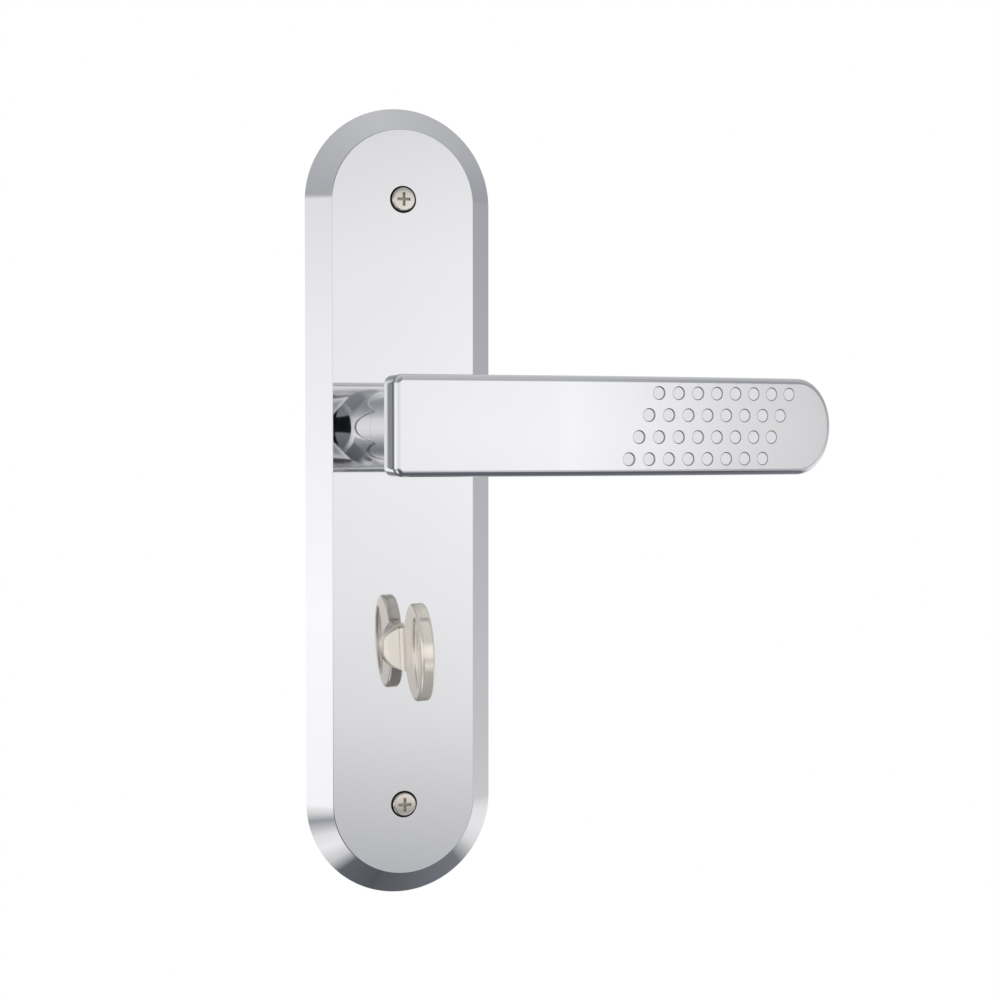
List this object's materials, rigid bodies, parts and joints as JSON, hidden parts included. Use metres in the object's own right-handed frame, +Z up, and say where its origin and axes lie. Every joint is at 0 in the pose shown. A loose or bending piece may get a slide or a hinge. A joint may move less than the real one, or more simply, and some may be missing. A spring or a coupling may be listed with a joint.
{
  "type": "bathroom door lock trim",
  "caption": "Inside trim of a bathroom door lock: long chromed plate with a dimpled lever handle and an oval thumbturn, fixed by screws.",
  "frame": {"origin": "where the lever's axis meets the door face, at the back of the plate", "axes": "+X along the lever to its tip, +Y into the door, +Z up"},
  "size_m": [0.1206, 0.0946, 0.1904],
  "materials": {
    "chrome": "bright polished chrome plate on a zinc casting",
    "nickel": "polished nickel plate",
    "steel": "zinc plated steel",
    "spring_steel": "oiled spring steel",
    "nylon": "black nylon"
  },
  "bodies": {
    "plate": {"face_plate": "chrome", "lever_bush": "nylon", "return_spring": "spring_steel", "thumbturn_bush": "nylon", "thumbturn_washer": "steel", "upper_screw": "nickel", "lower_screw": "nickel"},
    "lever": {"lever_handle": "chrome", "lever_spindle": "steel", "spindle_grub_screw": "steel", "spring_driver": "steel", "lever_wave_washer": "steel", "lever_circlip": "spring_steel"},
    "thumbturn": {"thumbturn": "nickel", "thumbturn_spindle": "steel", "thumbturn_circlip": "spring_steel"}
  },
  "joints": [
    {"name": "lever_turn", "type": "hinge", "parent": "plate", "child": "lever", "pos_m": [0, 0, 0], "axis": [0, 1, 0], "range_deg": [-40, 40], "stiffness_Nm_per_rad": 1.5, "springref_deg": -2.86, "deforming": ["return_spring"]},
    {"name": "thumbturn_turn", "type": "hinge", "parent": "plate", "child": "thumbturn", "pos_m": [0, 0, -0.053], "axis": [0, 1, 0], "range_deg": [0, 90]}
  ]
}
